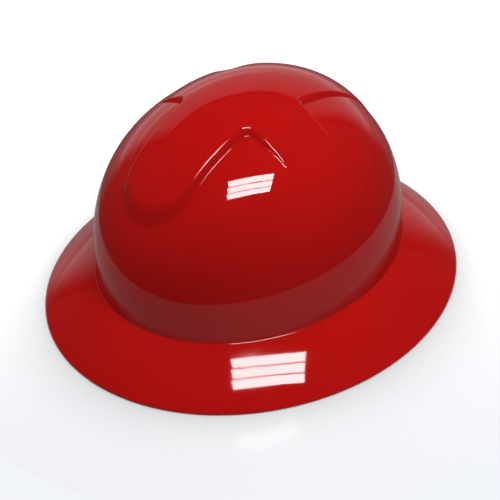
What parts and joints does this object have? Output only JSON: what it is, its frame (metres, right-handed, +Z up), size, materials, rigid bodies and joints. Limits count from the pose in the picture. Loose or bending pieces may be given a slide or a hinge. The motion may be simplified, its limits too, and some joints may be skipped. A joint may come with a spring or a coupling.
{
  "type": "full brim hard hat",
  "caption": "Full brim hard hat: a glossy red shell with a raised cross on the crown, over a webbing suspension, an adjustable headband and a rear ratchet knob.",
  "frame": {"origin": "middle of the plane that the brim rests on", "axes": "+Z up to the crown, -Y to the front of the hat, +X to the wearer's left"},
  "size_m": [0.2816, 0.312, 0.1531],
  "materials": {
    "shell_plastic": "glossy injection-moulded plastic",
    "key_plastic": "fine-grained moulded plastic",
    "band_plastic": "fine-grained moulded plastic",
    "strap_plastic": "satin moulded plastic",
    "ratchet_plastic": "fine-grained moulded plastic",
    "gear_plastic": "natural acetal",
    "knob_plastic": "fine-grained moulded plastic",
    "webbing": "woven polyester webbing",
    "pad_fabric": "brushed fabric over foam",
    "steel": "plain steel"
  },
  "bodies": {
    "shell": {"shell": "shell_plastic", "key_front_left": "key_plastic", "key_front_right": "key_plastic", "key_side_left": "key_plastic", "key_side_right": "key_plastic", "key_rear_left": "key_plastic", "key_rear_right": "key_plastic", "webbing_side": "webbing", "webbing_front_left": "webbing", "webbing_front_right": "webbing", "crown_rivet": "key_plastic"},
    "headband": {"headband": "band_plastic", "ratchet_base": "ratchet_plastic", "ratchet_cover": "ratchet_plastic", "housing_screws": "steel", "brow_pad": "pad_fabric", "nape_pad": "pad_fabric"},
    "closing_strap_left": {"closing_strap_left": "strap_plastic"},
    "closing_strap_right": {"closing_strap_right": "strap_plastic"},
    "knob": {"knob": "knob_plastic", "pinion_gear": "gear_plastic", "click_spring": "gear_plastic", "knob_screw": "steel"}
  },
  "joints": [
    {"name": "headband_height", "type": "slide", "parent": "shell", "child": "headband", "axis": [0, 0, 1], "range_m": [-0.005, 0.005]},
    {"name": "knob_turn", "type": "hinge", "parent": "headband", "child": "knob", "pos_m": [0, 0.014, 0.024], "axis": [0, 1, 0], "range_deg": [-190, 190]},
    {"name": "strap_left_draw", "type": "hinge", "parent": "headband", "child": "closing_strap_left", "pos_m": [0, 0.014, 0.024], "axis": [0, 0, 1], "range_deg": [-14.45, 14.45]},
    {"name": "strap_right_draw", "type": "hinge", "parent": "headband", "child": "closing_strap_right", "pos_m": [0, 0.014, 0.024], "axis": [0, 0, 1], "range_deg": [-14.11, 14.11]}
  ],
  "couplings": [
    {"joint": "strap_left_draw", "follows": "knob_turn", "ratio": -0.07566},
    {"joint": "strap_right_draw", "follows": "knob_turn", "ratio": 0.07389}
  ]
}
